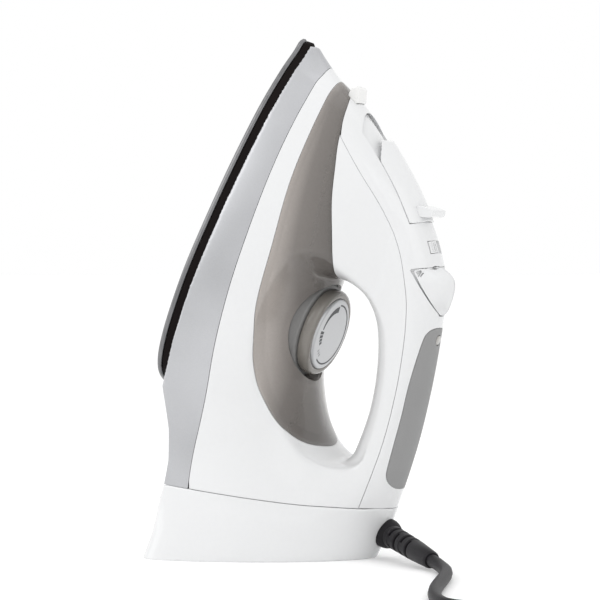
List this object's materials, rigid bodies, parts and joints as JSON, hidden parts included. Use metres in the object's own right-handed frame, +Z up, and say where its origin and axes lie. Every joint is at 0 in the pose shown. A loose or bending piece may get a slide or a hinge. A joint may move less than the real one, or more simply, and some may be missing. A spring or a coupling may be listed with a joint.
{
  "type": "steam iron",
  "caption": "Upright steam iron standing on its heel, with a pointed soleplate, closed loop handle, translucent water tank, dial, spray and steam controls, and a swivelling mains lead.",
  "frame": {"origin": "middle of the iron's bounding box, on the surface that its heel stands on", "axes": "+Z up from the heel towards the nose, +X from the soleplate side towards the handle side, +Y to the iron's right"},
  "size_m": [0.3917, 0.2794, 0.2928],
  "materials": {
    "white": "glossy white plastic",
    "silver": "satin silver paint on plastic",
    "black": "heat-resistant black plastic",
    "sole": "polished steel soleplate",
    "smoke": "translucent smoke-grey plastic",
    "grip": "grey soft-touch inlay",
    "taupe": "taupe plastic",
    "face": "satin silver dial face",
    "charcoal": "charcoal cord rubber",
    "steel": "bare steel",
    "brass": "plain brass",
    "silicone": "beige silicone",
    "inner": "natural inner plastic",
    "lens": "clear amber lens"
  },
  "bodies": {
    "housing": {"soleplate": "sole", "heat_shield": "black", "skirt": "silver", "main_body": "white", "water_tank": "smoke", "handle_cover": "white", "grip_pad": "grip", "heel_base": "white", "spray_nozzle": "inner", "nozzle_tip": "inner", "dial_collar": "smoke", "cord_tube": "charcoal", "pilot_lens": "lens", "heating_element": "steel", "steam_chamber_cover": "steel", "thermostat_base": "inner", "thermostat_blade": "brass", "thermal_fuse": "inner", "terminal_block": "inner", "wire_live": "silicone", "wire_neutral": "silicone", "tank_inlet": "inner", "valve_seat": "silicone", "spray_cylinder": "inner", "burst_cylinder": "inner", "spray_spring": "steel", "burst_spring": "steel", "spray_hose": "silicone", "suction_tube": "silicone", "pilot_lamp": "lens", "cord_clamp": "inner", "inner_cable": "charcoal", "clamp_screw_left": "steel", "clamp_screw_right": "steel", "sole_screw_left": "steel", "sole_screw_right": "steel", "cord_coil": "charcoal", "coil_tie": "silicone", "cord_tail": "charcoal", "plug_body": "charcoal", "plug_blade_left": "steel", "plug_blade_right": "steel"},
    "dial": {"dial_ring": "taupe", "dial_cap": "face", "dial_hub": "taupe", "thermostat_shaft": "steel"},
    "slider": {"steam_slider": "white"},
    "needle": {"valve_needle": "steel"},
    "spray_press": {"spray_button": "white", "spray_piston": "inner"},
    "burst_press": {"burst_button": "white", "burst_piston": "inner"},
    "door": {"fill_cover": "white"},
    "swivel": {"cord_bush": "charcoal", "cord_guard": "charcoal"}
  },
  "joints": [
    {"name": "dial_turn", "type": "hinge", "parent": "housing", "child": "dial", "pos_m": [0.00365, 0, 0.12705], "axis": [0.9455, 0, -0.3256], "range_deg": [0, 300]},
    {"name": "needle_lift", "type": "slide", "parent": "housing", "child": "needle", "axis": [0.9455, 0, -0.3256], "range_m": [0, 0.003]},
    {"name": "slider_swing", "type": "hinge", "parent": "housing", "child": "slider", "pos_m": [0.0519, 0, 0.16819], "axis": [-0.2858, 0, 0.9583], "range_deg": [0, 20]},
    {"name": "spray_press", "type": "slide", "parent": "housing", "child": "spray_press", "axis": [-0.9455, 0, 0.3256], "range_m": [0, 0.002], "stiffness_N_per_m": 800, "springref_m": -0.0005, "deforming": ["spray_spring"]},
    {"name": "burst_press", "type": "slide", "parent": "housing", "child": "burst_press", "axis": [-0.9455, 0, 0.3256], "range_m": [0, 0.002], "stiffness_N_per_m": 800, "springref_m": -0.0005, "deforming": ["burst_spring"]},
    {"name": "door_slide", "type": "slide", "parent": "housing", "child": "door", "axis": [-0.4998, 0, 0.8661], "range_m": [0, 0.016]},
    {"name": "lead_swivel", "type": "hinge", "parent": "housing", "child": "swivel", "pos_m": [0.04387, 0, 0.0141], "axis": [0.7011, -0.7011, -0.1302], "range_deg": [-150, 150]}
  ],
  "couplings": [
    {"joint": "slider_swing", "follows": "needle_lift", "rad_per_m": 116.3}
  ]
}
